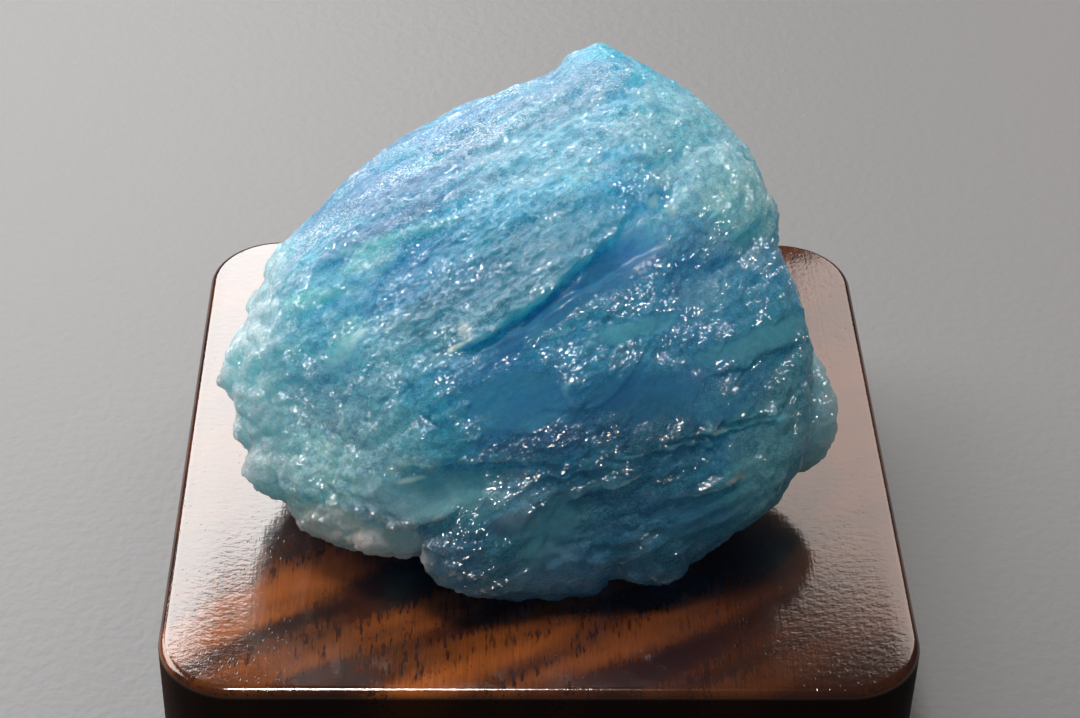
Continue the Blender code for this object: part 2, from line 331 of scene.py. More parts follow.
def wood_colour(place, stretched, pore):
    """Feathered dark ribbons over orange wood, brighter in a pool of painted light near the front left, with
    black pores and sides darkened as painted shade.
    """
    fibre = noise_of(stretched(FIBRE_SIZE), 3.0, 0.65)
    dashes = noise_of(stretched(DASH_SIZE))
    feather = times(minus(dashes, 0.5), RIBBON_FEATHER)
    shift = add_node(tree_of(place), "ShaderNodeCombineXYZ", {"Y": feather}).outputs[0]
    ribbon_place = vector_of("ADD", stretched(RIBBON_SIZE, RIBBON_TURN), shift)
    ribbon = soft_ramp(noise_of(ribbon_place), 0.34, 0.72)
    streaks = times(soft_ramp(dashes, 0.54, 0.66), soft_ramp(ribbon, 0.85, 0.35))
    ribbon = times(ribbon, minus(1.0, times(streaks, 0.8)))
    # Painted light: the orange figure is bright in a pool near the front left and dimmed away from it.
    glow = add_node(tree_of(place), "ShaderNodeVectorMath", {0: stretched(LIGHT_POOL_SIZE), 1: LIGHT_POOL_CENTRE},
                    operation="DISTANCE").outputs["Value"]
    ribbon = times(ribbon, plus(times(soft_ramp(glow, 1.6, 0.3), 0.87), 0.13))
    shade = plus(fibre, times(noise_of(stretched(CLOUD_SIZE)), 0.9))
    colour = mix(1.0, mix(ribbon, DARK_WOOD, ORANGE_WOOD), shade, blend_type="MULTIPLY")
    return mix(times(pore, 0.5), colour, PORE_BLACK)


def paint_wood():
    """Ribbons of figure across the grain, pores along it, and a dimpled gloss lacquer."""
    material, tree, shader = new_material("lacquered_wood")
    place = add_node(tree, "ShaderNodeTexCoord").outputs["Object"]

    def stretched(size, turn=0.0):
        """The place on the block in units of size (millimetres), turned about its height in degrees."""
        scale = tuple(1.0 / (MM * length) for length in size)
        return vector_of("MULTIPLY", turned(place, math.radians(turn), "Z"), scale)

    cells = cells_of(stretched(PORE_SIZE))
    chosen = add_node(tree, "ShaderNodeSeparateColor", {"Color": cells["Color"]}).outputs[0]
    crowd = soft_ramp(noise_of(stretched(PORE_CROWD_SIZE), 1.0), 0.35, 0.65)
    pore = times(soft_ramp(cells["Distance"], 0.26, 0.14), soft_ramp(plus(chosen, crowd), 1.15, 1.25))
    # Painted shade: the sides below the top edge are painted near-black.
    below_top = soft_ramp(part_of(place, "Z"), stand_high.z - SIDE_SHADE_START, stand_high.z - SIDE_SHADE_END)
    side = times(below_top, 0.9)
    colour = mix(side, wood_colour(place, stretched, pore), SIDE_PAINTED_SHADE)
    tree.links.new(colour, shader.inputs["Base Color"])

    dimples = noise_of(stretched(LACQUER_DIMPLE_SIZE), 3.0, 0.6)
    brushed = noise_of(stretched(LACQUER_BRUSH_SIZE), 1.0)
    relief = minus(plus(dimples, times(brushed, 0.30)), times(pore, 0.4))
    bump = add_node(tree, "ShaderNodeBump", {"Strength": 1.0, "Distance": LACQUER_RELIEF, "Height": relief})
    tree.links.new(bump.outputs["Normal"], shader.inputs["Normal"])
    tree.links.new(bump.outputs["Normal"], shader.inputs["Coat Normal"])
    tree.links.new(minus(1.0, side), shader.inputs["Coat Weight"])
    shader.inputs["Coat Roughness"].default_value = 0.115
    shader.inputs["Coat IOR"].default_value = 1.7
    shader.inputs["Roughness"].default_value = 0.35
    shader.inputs["Specular IOR Level"].default_value = 0.0
    return material


stand_mesh = shape_stand()
stand_mesh.materials.append(paint_wood())
stand = add_piece("wooden_stand", stand_mesh)
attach(stand, "root")
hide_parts("wood_stand")


# ---------------------------------------------------------------------------------------------
# Aquamarine: one etched fragment of a large beryl crystal.  It grew in one piece, and was then
# eaten back along its grain into ledges, shell-shaped hollows and a skin of tiny bright facets.
# ---------------------------------------------------------------------------------------------
# The stone's own axes: `across` is X, `rise` (Y) runs up its leaning broad face, and `out` (Z)
# points straight out of that face.  Lengths are millimetres in those axes.
STONE_CENTRE = Vector((-2.6 * MM, -11.2 * MM, STAND_TOP + 26.0 * MM))
FACE_LEAN = math.radians(52.0)
FRONT_DEPTH = 21.5
BACK_DEPTH = 35.0
SECTION_POWER = 2.2
# Corners of the outline, seen square onto the broad face.
OUTLINE = (
    (35.0, -3.0), (33.9, 2.8), (31.6, 8.6), (30.2, 12.0), (30.0, 15.7), (28.6, 20.0), (25.7, 24.0),
    (22.6, 27.0), (17.4, 30.6), (12.2, 33.2), (9.2, 33.8), (6.0, 32.9), (3.5, 31.0), (-2.7, 28.6),
    (-10.7, 25.0), (-17.3, 20.8), (-23.5, 14.8), (-29.6, 8.6), (-30.2, 5.8), (-32.0, 1.4),
    (-34.6, -2.6), (-35.0, -5.6), (-33.4, -9.0), (-33.2, -12.4), (-32.0, -13.9), (-32.6, -16.6),
    (-31.4, -18.6), (-28.0, -20.3), (-26.2, -23.3), (-20.7, -25.8), (-15.1, -25.4), (-11.1, -26.4),
    (-9.2, -29.4), (-5.8, -30.9), (-0.3, -31.7), (5.0, -31.8), (9.6, -30.8), (11.6, -28.4),
    (13.6, -28.6), (17.2, -28.8), (23.1, -25.2), (30.0, -20.5), (33.6, -15.0), (34.6, -9.0),
)
# Broad faces: the way that each one looks and how far out it lies.
FACES = (
    ((-0.25, 0.45, 0.86), 20.5),
    ((0.02, -0.55, 0.83), 21.5),
    ((-0.50, -0.35, 0.79), 23.5),
    ((0.50, 0.05, 0.86), 22.0),
    ((0.10, 0.55, -0.83), 32.0),
    ((-0.55, 0.15, -0.82), 30.5),
    ((0.55, -0.05, -0.83), 31.5),
)
FACE_SHARPNESS = 14.0
# Ledges: the line of each one's edge, its drop, how far it fades above and below, the side of the stone that
# it is on (+1 the broad face, -1 the back) and how strong the painted highlight on its thin lip and the
# painted shade at its foot are.
LEDGES = (
    (((-9.1, -3.0), (-5.7, -1.4), (-2.3, 0.9), (0.7, 2.9), (3.0, 4.6), (5.4, 6.4), (7.5, 8.6), (9.8, 10.5),
      (12.1, 12.9), (14.5, 15.0)), 2.3, 7.0, 4.0, +1, 0.4),
    (((-4.2, -1.5), (0.8, 0.9), (5.3, 3.8), (9.2, 5.8), (13.5, 8.7), (17.0, 10.5)), -0.9, 2.0, 5.0, +1, 0.15),
    (((-14.3, -15.5), (-12.0, -14.5), (-8.1, -14.2), (-4.5, -14.1), (-0.2, -14.4), (2.0, -14.9)),
     1.1, 4.0, 3.5, +1, 0.7),
    (((-19.0, -20.4), (-15.6, -21.7), (-13.8, -21.6), (-10.3, -20.7), (-8.1, -19.5), (-5.2, -17.7)),
     1.8, 4.0, 3.0, +1, 0.4),
    (((2.9, -16.6), (5.5, -16.5), (7.4, -15.5), (9.7, -15.4), (12.3, -15.0)), 0.7, 2.5, 2.5, +1, 0.7),
    (((4.5, -19.9), (7.9, -18.5), (10.7, -17.8), (13.6, -16.6), (16.0, -16.2)), 1.2, 3.0, 3.0, +1, 1.0),
    (((7.7, -13.7), (10.8, -14.2), (14.0, -13.9), (17.3, -13.2), (18.7, -12.4), (21.7, -12.7), (24.0, -12.6)),
     1.0, 3.0, 2.0, +1, 0.8),
    (((13.9, -12.7), (17.3, -11.9), (20.9, -10.5), (24.5, -9.6), (28.9, -8.9), (31.5, -7.1), (33.6, -6.0)),
     1.1, 3.0, 2.0, +1, 0.8),
    (((20.4, -8.8), (20.8, -10.6), (22.2, -11.4), (24.0, -11.3), (28.0, -10.4), (31.5, -8.7)),
     0.7, 1.5, 1.5, +1, 1.0),
    (((16.8, -18.6), (18.0, -19.5), (20.7, -19.0), (23.8, -17.5), (27.1, -14.6)), 1.0, 3.0, 3.0, +1, 0.8),
    (((20.3, -1.7), (22.4, -1.5), (27.7, 1.2), (33.1, 3.3)), 0.6, 3.0, 2.0, +1, 0.3),
    (((20.5, -4.6), (23.3, -4.2), (28.3, -1.9), (33.7, 0.1)), 1.2, 2.5, 3.0, +1, 0.4),
    (((19.5, 14.0), (20.7, 12.5), (21.6, 11.7), (23.3, 10.9), (25.7, 11.9), (26.9, 13.9)),
     1.0, 3.0, 2.5, +1, 0.8),
    (((5.9, -4.3), (4.9, -5.7), (5.0, -7.4), (6.5, -9.1)), 0.6, 2.0, 1.5, +1, 0.3),
    (((6.6, -9.6), (7.2, -10.8), (7.5, -13.0)), -0.6, 2.0, 1.5, +1, 0.1),
    (((-10.9, -21.3), (-10.6, -26.2), (-9.3, -29.5)), 1.5, 4.0, 2.0, +1, 0.2),
    (((-25.5, 1.2), (-20.3, 4.3), (-15.0, 8.0), (-8.7, 13.2)), 0.9, 4.0, 4.0, +1, 0.2),
    (((-22.5, 6.0), (-19.5, 8.3), (-16.0, 9.8), (-12.0, 10.6)), 0.6, 2.0, 2.0, +1, 0.3),
    (((-24.0, -3.0), (-12.0, 4.0), (2.0, 9.0), (18.0, 15.0)), 2.0, 7.0, 6.0, -1, 0.3),
    (((-14.0, -15.0), (0.0, -9.0), (16.0, -6.0), (27.0, 2.0)), 1.6, 6.0, 5.0, -1, 0.3),
    (((-20.0, 8.0), (-8.0, 16.0), (6.0, 22.0)), 1.4, 5.0, 5.0, -1, 0.3),
)
# A ledge's softened edge, the fade of its ends and its wandering, then the painted highlight on the thin lip
# and the painted shade at the foot along it.
LEDGE_EDGE_WIDTH = 0.35
LEDGE_END_FADE = 0.2
LEDGE_WANDER = 0.55
LIP_SHARE = 0.6
LIP_HIGHLIGHT_PLACE = 0.12
LIP_HIGHLIGHT_WIDTH = 0.28
FOOT_SHADE_REACH = 0.9
# How far a mark of the broad face takes to fade out over the rim.
SIDE_BLEND = 6.0
# Shell-shaped hollows: centre, half length, half width, turn in degrees and depth.
HOLLOWS = (
    ((11.0, 7.6), 6.5, 2.8, 43.0, 1.3),
    ((0.2, -7.4), 7.0, 4.2, 12.0, 0.9),
    ((13.0, -7.6), 8.0, 4.2, 2.0, 1.1),
    ((-9.6, -17.4), 6.5, 2.4, 8.0, 0.9),
    ((20.5, 6.5), 6.0, 3.5, 35.0, 0.7),
    ((-18.5, 1.5), 6.5, 2.6, 32.0, 0.5),
)
# Patches of the skin: centre, half length, half width, turn in degrees and strength.
# First the hollows and bands that etching left smooth.
SMOOTH = (
    ((4.5, 3.2), 12.0, 1.4, 37.0, 0.9), ((11.5, 8.3), 5.0, 2.6, 43.0, 0.9),
    ((12.7, 0.6), 5.6, 1.1, 12.0, 1.0), ((27.0, -0.5), 7.5, 1.5, 20.0, 1.0),
    ((0.3, -7.4), 6.2, 3.4, 8.0, 1.0), ((13.2, -6.9), 6.8, 3.0, 0.0, 1.0),
    ((3.8, -22.6), 4.8, 2.9, 60.0, 0.9), ((-9.8, -17.5), 6.2, 2.3, 8.0, 0.9),
    ((-0.7, -20.5), 3.0, 1.2, -10.0, 1.0), ((-20.3, -2.3), 3.4, 1.5, 52.0, 0.8),
    ((21.0, -8.0), 5.0, 1.6, 5.0, 0.6), ((22.0, -21.5), 6.0, 2.4, 30.0, 0.7),
    ((3.0, 9.5), 9.0, 2.0, 37.0, 0.5), ((-16.0, -18.0), 4.0, 2.2, 10.0, 0.6),
)
# Drifts of bright facets.
GLITTER = (
    ((11.0, 3.6), 8.8, 2.4, 10.0, 1.0), ((11.7, 4.2), 2.4, 1.3, 10.0, 1.3),
    ((20.3, 1.1), 2.8, 2.4, 0.0, 1.3), ((6.5, -2.4), 11.5, 1.5, 4.0, 0.9),
    ((11.9, -1.5), 2.2, 1.2, 10.0, 1.2), ((-2.5, -3.1), 2.6, 1.2, 20.0, 1.1),
    ((17.3, -3.0), 1.8, 0.9, 0.0, 1.2), ((25.8, -3.3), 5.8, 1.5, 12.0, 0.9),
    ((3.2, -11.3), 4.0, 1.4, 4.0, 1.2), ((-7.4, -21.6), 4.4, 3.0, 40.0, 1.7),
    ((-1.3, -17.2), 3.4, 1.9, 10.0, 1.5), ((-8.1, -6.0), 1.9, 1.1, -30.0, 1.5),
    ((6.8, -7.1), 0.9, 0.6, 0.0, 1.4), ((-3.6, -26.0), 4.8, 2.0, 0.0, 1.4),
    ((8.1, -23.7), 2.8, 1.0, 35.0, 1.0), ((15.5, -24.0), 4.2, 1.6, 8.0, 0.9),
    ((5.8, -27.8), 2.6, 1.7, 60.0, 1.0), ((20.8, -14.6), 2.4, 1.0, 20.0, 1.0),
    ((19.0, -17.1), 3.2, 0.9, -5.0, 0.8), ((15.7, 10.5), 1.1, 0.9, 0.0, 0.8),
    ((-10.6, 4.6), 3.2, 1.5, 10.0, 0.8), ((-17.2, -8.3), 4.8, 2.4, 20.0, 0.7),
    ((-21.0, -7.6), 1.6, 1.0, 0.0, 0.9), ((-18.4, -12.8), 2.2, 0.9, 20.0, 1.0),
    ((-6.9, -1.2), 2.4, 1.0, 30.0, 1.0), ((24.5, 5.0), 5.5, 3.2, 60.0, 0.6),
    ((22.5, 14.5), 4.2, 3.4, 0.0, 0.6), ((-10.0, 22.5), 18.0, 5.0, 36.0, 0.8),
    ((5.0, 30.0), 7.0, 3.0, 10.0, 0.8), ((-6.0, 1.5), 9.0, 4.0, 35.0, 0.5),
    ((13.0, 24.0), 10.0, 6.0, 0.0, 0.35), ((-29.0, -2.0), 6.0, 4.0, 90.0, 0.6),
    ((-26.0, -15.0), 7.0, 4.0, -60.0, 0.5),
)
# The finer silvery shimmer along the upper left.
SHIMMER = (
    ((-13.0, 21.0), 21.0, 5.5, 36.0, 1.0), ((5.0, 31.0), 9.0, 4.0, 5.0, 0.6),
    ((-10.0, 13.0), 12.0, 4.0, 34.0, 0.3), ((10.0, 24.0), 10.0, 6.0, 10.0, 0.35),
)
# Clearer, deeper blue.
DEEP = (
    ((4.5, 3.2), 13.0, 1.9, 37.0, 0.9), ((11.0, 7.0), 5.6, 2.6, 43.0, 0.8),
    ((0.3, -7.4), 7.5, 4.4, 5.0, 0.6), ((13.5, -8.6), 10.0, 5.2, 0.0, 0.9),
    ((3.0, -11.8), 8.0, 2.2, 0.0, 0.8), ((18.0, -14.0), 10.0, 3.5, 10.0, 0.5),
    ((15.0, -24.0), 13.0, 5.5, 20.0, 0.6), ((-8.0, -24.0), 5.0, 4.5, 20.0, 0.6),
    ((22.0, -6.5), 9.0, 3.0, 10.0, 0.45), ((-4.0, -4.5), 5.0, 2.5, 20.0, 0.5),
)
# Greener patches and bands.
SEA_GREEN = (
    ((24.0, 14.5), 5.5, 4.5, 0.0, 0.9), ((29.0, -13.0), 11.0, 5.0, 70.0, 0.8),
    ((-10.0, -17.5), 9.0, 3.6, 8.0, 0.7), ((-20.0, -13.0), 11.0, 7.0, 0.0, 0.7),
    ((4.0, -23.0), 6.0, 4.0, 60.0, 0.35), ((-13.0, -2.0), 10.0, 3.5, 32.0, 0.4),
    ((5.0, 9.0), 13.0, 2.6, 38.0, 0.2), ((27.0, -0.5), 7.5, 1.6, 20.0, 0.5),
    ((12.7, 0.6), 5.6, 1.2, 12.0, 0.5), ((-17.0, 8.3), 4.2, 1.0, 34.0, 1.0),
    ((-20.5, -1.2), 3.4, 1.6, 55.0, 1.0), ((-23.8, 3.8), 3.2, 0.8, 15.0, 1.0),
    ((-11.5, 11.3), 5.0, 0.7, 20.0, 0.7),
)
# Paler blue toward violet.
SKY_BLUE = (
    ((-14.0, 18.5), 18.0, 6.5, 38.0, 1.0), ((3.0, 28.5), 10.0, 4.5, 15.0, 0.9),
    ((-28.0, 4.0), 7.0, 4.5, 60.0, 0.8), ((-0.7, -20.5), 3.2, 1.3, -10.0, 0.9),
)
# Near-white spots and the creamy foot.
PALE = (
    ((-22.0, 3.6), 3.4, 0.5, 25.0, 0.2), ((-16.7, 9.5), 3.8, 0.4, 20.0, 0.2),
    ((-15.8, 7.6), 2.8, 0.5, 40.0, 0.2), ((-20.3, -2.3), 3.0, 0.9, 52.0, 0.12),
    ((-12.0, -16.1), 1.6, 0.30, 12.0, 0.9), ((14.5, 14.7), 0.9, 0.6, 40.0, 0.45),
    ((16.3, 13.8), 1.1, 0.5, 100.0, 0.4), ((-6.4, 0.1), 1.3, 0.8, 120.0, 0.45),
    ((-13.2, -14.6), 1.7, 0.8, 20.0, 0.25), ((-21.5, -22.8), 7.0, 2.3, -15.0, 0.8),
    ((-14.0, -24.4), 4.4, 1.9, 0.0, 0.65), ((24.9, -16.7), 1.5, 0.5, 20.0, 0.7),
    ((23.0, -11.2), 1.4, 0.4, 0.0, 0.7), ((-0.9, -16.0), 2.0, 0.7, 10.0, 0.2),
    ((-7.5, -1.7), 1.2, 0.4, 25.0, 0.8),
)
# Frosted, whiter skin.
FROSTED = (
    ((24.5, 15.0), 7.5, 7.0, 0.0, 1.0), ((19.0, 23.0), 10.0, 7.0, 0.0, 0.8),
    ((-26.0, -14.0), 9.0, 7.5, 0.0, 1.0), ((-15.0, -17.0), 9.0, 4.0, 8.0, 0.5),
    ((-21.0, -3.0), 9.0, 7.0, 0.0, 0.5), ((4.0, 22.0), 11.0, 6.0, 20.0, 0.45),
    ((15.0, 11.0), 6.5, 3.0, 25.0, 0.6), ((-0.5, -18.3), 4.0, 2.2, 0.0, 0.6),
    ((20.5, 5.5), 4.0, 3.0, 0.0, 0.4), ((4.0, -27.5), 7.0, 3.0, 0.0, 0.4),
)
# Where the milk inside is thinner.
DIMMER = (
    ((-1.0, 6.5), 13.0, 4.0, 40.0, 0.2), ((-9.0, 1.5), 6.0, 4.0, 30.0, 0.2),
    ((4.0, 24.5), 13.0, 7.0, 20.0, 0.16), ((14.0, -10.5), 7.0, 3.5, 0.0, 0.2),
    ((0.0, 4.7), 4.5, 2.4, 43.0, 0.12),
)
# Where the colour is lifted as painted light, standing for light let through thin parts and for glints.
PAINTED_LIGHT_PATCHES = (
    ((-24.5, -17.0), 8.5, 5.0, 0.0, 0.45), ((-30.0, -10.0), 6.0, 4.5, 90.0, 0.14),
    ((14.5, 12.0), 6.5, 2.8, 25.0, 0.25), ((-0.5, -18.3), 3.6, 2.0, 0.0, 0.35),
    ((4.0, -27.5), 7.0, 3.0, 0.0, 0.40), ((24.5, 16.5), 7.0, 7.0, 0.0, 0.20),
    ((-22.5, 0.0), 8.0, 5.0, 0.0, 0.12),
)
# Lumps and knobs: the way to each from the stone's middle, its radius and its height.
LUMPS = (
    ((39.0, -10.6, -13.0), 8.2, 5.0),
    ((38.0, -14.0, -10.5), 3.4, 0.7),
    ((38.5, -9.5, -8.0), 3.0, 0.7),
    ((24.0, 16.0, 11.0), 6.5, 1.8),
    ((-4.5, -25.0, 9.0), 7.5, 1.8),
    ((15.5, -28.0, 2.0), 4.5, 1.2),
    ((-32.0, 3.6, 2.5), 2.1, 0.5),
    ((-33.0, -1.4, 4.0), 2.2, 0.6),
    ((-34.5, -5.4, 1.0), 2.3, 0.6),
    ((-33.0, -8.6, 5.0), 2.4, 1.0),
    ((-33.4, -11.4, 0.0), 2.1, 0.6),
    ((-32.0, -17.0, 1.0), 2.8, 0.9),
    ((-27.5, -19.0, 6.0), 3.0, 1.0),
    ((-15.0, -24.5, 5.0), 3.6, 1.4),
    ((30.2, 14.0, 5.0), 3.0, 1.0),
    ((8.5, 33.5, 3.0), 3.4, 0.8),
    ((3.0, -12.0, 17.0), 3.4, 0.3),
    ((-8.0, -5.5, 18.0), 3.0, 0.3),
    ((-22.0, -6.0, -22.0), 9.0, 2.4),
    ((10.0, 14.0, -27.0), 10.0, 2.2),
    ((20.0, -12.0, -20.0), 8.0, 2.0),
)
GRAIN_ANGLE = math.radians(31.0)
GRAIN_STRETCH = 3.2
# Noise that shapes the stone: the size of its lumps, their height and where in the noise it starts.
SWELL_SIZE = 15.0
SWELL_HEIGHT = 1.5
SWELL_START = (3.1, 7.7, 1.3)
STEP_SIZE = 6.5
STEP_HEIGHT = 0.30
STEP_START = (11.2, 4.6, 8.9)
STEPS_PER_SWELL = 2.4
STEP_RISER = (0.3, 0.7)
RAGGED_SIZE = 1.6
RAGGED_START = (4.2, 8.8, 1.7)
FINE_RAGGED_SIZE = 0.7
FINE_RAGGED_START = (9.2, 3.8, 5.7)
BORDER_SIZE = 2.2
BORDER_START = (7.4, 1.9, 6.3)
FINE_BORDER_SIZE = 0.9
FINE_BORDER_START = (2.4, 5.9, 3.3)
# The rim: how much of the etching it keeps and where it begins, then where it is ragged and how much
# so all round, low and lowest.
RIM_CALM = 0.2
RIM_BAND = (0.1, 0.45)
RAGGED_RIM = (0.6, 0.2)
RIM_RAGGEDNESS = (0.12, 0.25, 0.25)
LOW_RIM = (10.0, -12.0)
LOWEST_RIM = (-18.0, -26.0)
# The gap over the wood, and the low lumps that the stone stands on.
REST_GAP = 0.35
UNDERSIDE_LUMP_SIZE = 8.0
UNDERSIDE_LUMP_HEIGHT = 1.8
UNDERSIDE_START = (5.5, 2.2, 9.1)
# The skin's fineness, and how far it is drawn toward the broad face.
SKIN_CUTS = 126
SKIN_BIAS = 0.2
# Cloudy variation: its spacing along, over and out of the grain, its octaves and where it starts.
MOTTLES = (
    ("cloud", (20.0, 11.0, 11.0), 2, (1.5, 7.2, 4.4)),
    ("streak", (14.0, 3.0, 3.8), 3, (8.6, 0.4, 5.9)),
    ("patch", (3.8, 1.7, 1.7), 3, (6.1, 2.7, 8.3)),
)
# The paler lobe low on the right, lifted further as painted light.
LOBE_CENTRE = (36.0, -10.0, -13.0)
LOBE_REACH = 8.0
# Glitter over the plain skin, and how much of it is lost on the sheltered lower right.
PLAIN_GLITTER = 0.60
SHELTER_LOSS = 0.5
SHELTER_ACROSS = (4.0, 18.0)
SHELTER_RISE = (-8.0, -15.0)
# How far a border across the front leans with the stone's grain.
FRONT_LEAN = 0.6
# Milk inside, with painted light and shade: its share low on the front, darkened there as painted shade, and
# what is lost toward the back and over the middle.
LOW_SHADED_MILK = 0.70
LOW_SHADE_BAND = (-26.0, -8.0)
BACK_MILK_LOSS = 0.30
BACK_BAND = (-4.0, -20.0)
MIDDLE_MILK_LOSS = 0.30
MIDDLE_PLACE = (-5.0, 6.0)
MIDDLE_REACH = (18.0, 10.0)
# The lobe's painted light.
LOBE_PAINTED_LIGHT = 0.35
# Where the left side turns frosted, along a leaning border, and then knobby.
LEFT_FROST = (-14.0, -32.0)
LEFT_KNOBS = (-25.0, -30.0)


def smooth_step(low, high, value):
    """Rise smoothly from 0 at low to 1 at high."""
    t = np.clip((value - low) / (high - low), 0.0, 1.0)
    return t * t * (3.0 - 2.0 * t)


def noise_at(points, size, start):
    """Blender's smooth noise, about -1 to 1, with lumps of the given size."""
    return np.array([noise.noise(point) for point in (points / size + np.array(start)).tolist()])


def grain_axes(points):
    """The points' places along the grain, over it and out of the broad face."""
    along = points @ np.array([math.cos(GRAIN_ANGLE), math.sin(GRAIN_ANGLE), 0.0])
    over = points @ np.array([-math.sin(GRAIN_ANGLE), math.cos(GRAIN_ANGLE), 0.0])
    return along, over, points[:, 2]


def grain_place(points):
    """The points with the grain's length drawn in, so that noise runs along the grain."""
    along, over, out = grain_axes(points)
    return np.stack([along / GRAIN_STRETCH, over, out], axis=1)


def skin_directions(bm):
    """Directions to an evenly cut cube's corners, drawn closer together on the broad face."""
    corners = np.array([vert.co for vert in bm.verts])
    corners = np.tan(np.clip(corners, -1.0, 1.0) * math.pi / 4.0)
    directions = corners / np.linalg.norm(corners, axis=1)[:, None]
    directions[:, 2] += SKIN_BIAS
    return directions / np.linalg.norm(directions, axis=1)[:, None]


def body_distance(directions):
    """Distance to the stone's plain body: its outline, thickness and broad faces."""
    across, rise, out = directions.T
    corners = np.array(OUTLINE)
    corner_angles = np.arctan2(corners[:, 1], corners[:, 0])
    corner_radii = np.hypot(corners[:, 0], corners[:, 1])
    radius = np.interp(np.arctan2(rise, across), corner_angles, corner_radii, period=2.0 * math.pi)
    depth = np.where(out > 0.0, FRONT_DEPTH, BACK_DEPTH)
    section = (np.hypot(across, rise) / radius) ** SECTION_POWER + (np.abs(out) / depth) ** SECTION_POWER
    nearness = section ** (FACE_SHARPNESS / SECTION_POWER)
    for normal, reach in FACES:
        facing = np.clip(directions @ (np.array(normal) / np.linalg.norm(normal)), 0.0, None)
        nearness += (facing / reach) ** FACE_SHARPNESS
    return nearness ** (-1.0 / FACE_SHARPNESS)


def etching_relief(points, out):
    """Broad swells and the stepped etching that follows the grain, calmer at the rim."""
    drawn = grain_place(points)
    calm = RIM_CALM + (1.0 - RIM_CALM) * smooth_step(*RIM_BAND, np.abs(out))
    swell = noise_at(points, SWELL_SIZE, SWELL_START)
    level = STEPS_PER_SWELL * noise_at(drawn, STEP_SIZE, STEP_START)
    terrace = np.floor(level) + smooth_step(*STEP_RISER, level - np.floor(level))
    return calm * (SWELL_HEIGHT * swell + STEP_HEIGHT * terrace)


def ledge_relief(points, wander, line, drop, reach_up, reach_down, side):
    """One ledge: its height, a lip above the line and a shelf let in below, a painted highlight on its thin
    edge and painted shade at its foot.
    """
    line = np.array(line)
    place = points[:, :2]
    nearest = np.full(len(points), np.inf)
    offset = np.zeros(len(points))
    along = np.zeros(len(points))
    lengths = np.linalg.norm(np.diff(line, axis=0), axis=1)
    starts = np.concatenate([[0.0], np.cumsum(lengths)])
    for start, end, length, start_length in zip(line[:-1], line[1:], lengths, starts):
        way = (end - start) / length
        travel = np.clip((place - start) @ way, 0.0, length)
        gap = place - start - travel[:, None] * way
        distance = np.linalg.norm(gap, axis=1)
        above = np.sign(way[0] * gap[:, 1] - way[1] * gap[:, 0])
        closer = distance < nearest
        nearest = np.where(closer, distance, nearest)
        offset = np.where(closer, distance * above, offset)
        along = np.where(closer, (start_length + travel) / starts[-1], along)
    strength = smooth_step(0.0, LEDGE_END_FADE, along) * smooth_step(1.0, 1.0 - LEDGE_END_FADE, along)
    strength *= smooth_step(0.0, SIDE_BLEND, side * points[:, 2])
    offset += wander
    above_line = smooth_step(-LEDGE_EDGE_WIDTH, LEDGE_EDGE_WIDTH, offset)
    lip = above_line * np.exp(-np.clip(offset, 0.0, None) / reach_up)
    shelf = (1.0 - above_line) * np.exp(np.clip(offset, None, 0.0) / reach_down)
    lip_highlight = strength * np.exp(-((offset - LIP_HIGHLIGHT_PLACE) / LIP_HIGHLIGHT_WIDTH) ** 2)
    foot_shade = strength * (1.0 - above_line) * np.exp(np.clip(offset, None, 0.0) / FOOT_SHADE_REACH)
    return drop * strength * (LIP_SHARE * lip - (1.0 - LIP_SHARE) * shelf), lip_highlight, foot_shade


def oval_place(points, centre, half_length, half_width, turn):
    """Each point's place along and across a turned oval, 1 at the oval's border."""
    turn = math.radians(turn)
    place = points[:, :2] - np.array(centre)
    lengthwise = place @ np.array([math.cos(turn), math.sin(turn)]) / half_length
    widthwise = place @ np.array([-math.sin(turn), math.cos(turn)]) / half_width
    return lengthwise, widthwise


def hollow_bowl(points, *oval):
    """How deep inside one shell-shaped hollow each point is, 0 outside to 1 at its middle."""
    lengthwise, widthwise = oval_place(points, *oval)
    inside = np.clip(1.0 - lengthwise ** 2 - widthwise ** 2, 0.0, None)
    return inside ** 2 * smooth_step(0.0, SIDE_BLEND, points[:, 2])


def lump_cap(directions, distance, way, radius):
    """How high on one round lump or knob each point is, 0 outside to 1 at its crown."""
    way = np.array(way) / np.linalg.norm(way)
    spread = np.arccos(np.clip(directions @ way, -1.0, 1.0)) * distance / radius
    return np.sqrt(np.clip(1.0 - spread ** 2, 0.0, None))


def rim_relief(body, out, ragged):
    """The ragged rim, roughest low on the stone."""
    rim = smooth_step(*RAGGED_RIM, np.abs(out))
    plain, low, lowest = RIM_RAGGEDNESS
    rise = body[:, 1]
    raggedness = plain + low * smooth_step(*LOW_RIM, rise) + lowest * smooth_step(*LOWEST_RIM, rise)
    return raggedness * rim * ragged


def keep_off_the_stand(points):
    """Lift whatever would reach the wood, leaving low lumps for the stone to stand on."""
    lift = math.sin(FACE_LEAN) * points[:, 1] + math.cos(FACE_LEAN) * points[:, 2]
    centre_height = (STONE_CENTRE.z - STAND_TOP) / MM
    lumps = noise_at(points, UNDERSIDE_LUMP_SIZE, UNDERSIDE_START)
    lowest = REST_GAP + UNDERSIDE_LUMP_HEIGHT * np.clip(lumps, 0.0, None)
    scale = np.where(centre_height + lift < lowest, (centre_height - lowest) / np.maximum(-lift, 1.0), 1.0)
    return points * scale[:, None]


def mottle(points, spacing, octaves, start):
    """Cloudy variation, -1 to 1, its lumps spaced by so many millimetres along, over and out of the grain."""
    place = np.stack(grain_axes(points), axis=1) / np.array(spacing)
    shares = [0.5 ** octave for octave in range(octaves)]
    layers = [share * noise_at(place / share, 1.0, start) for share in shares]
    return sum(layers) / sum(shares)


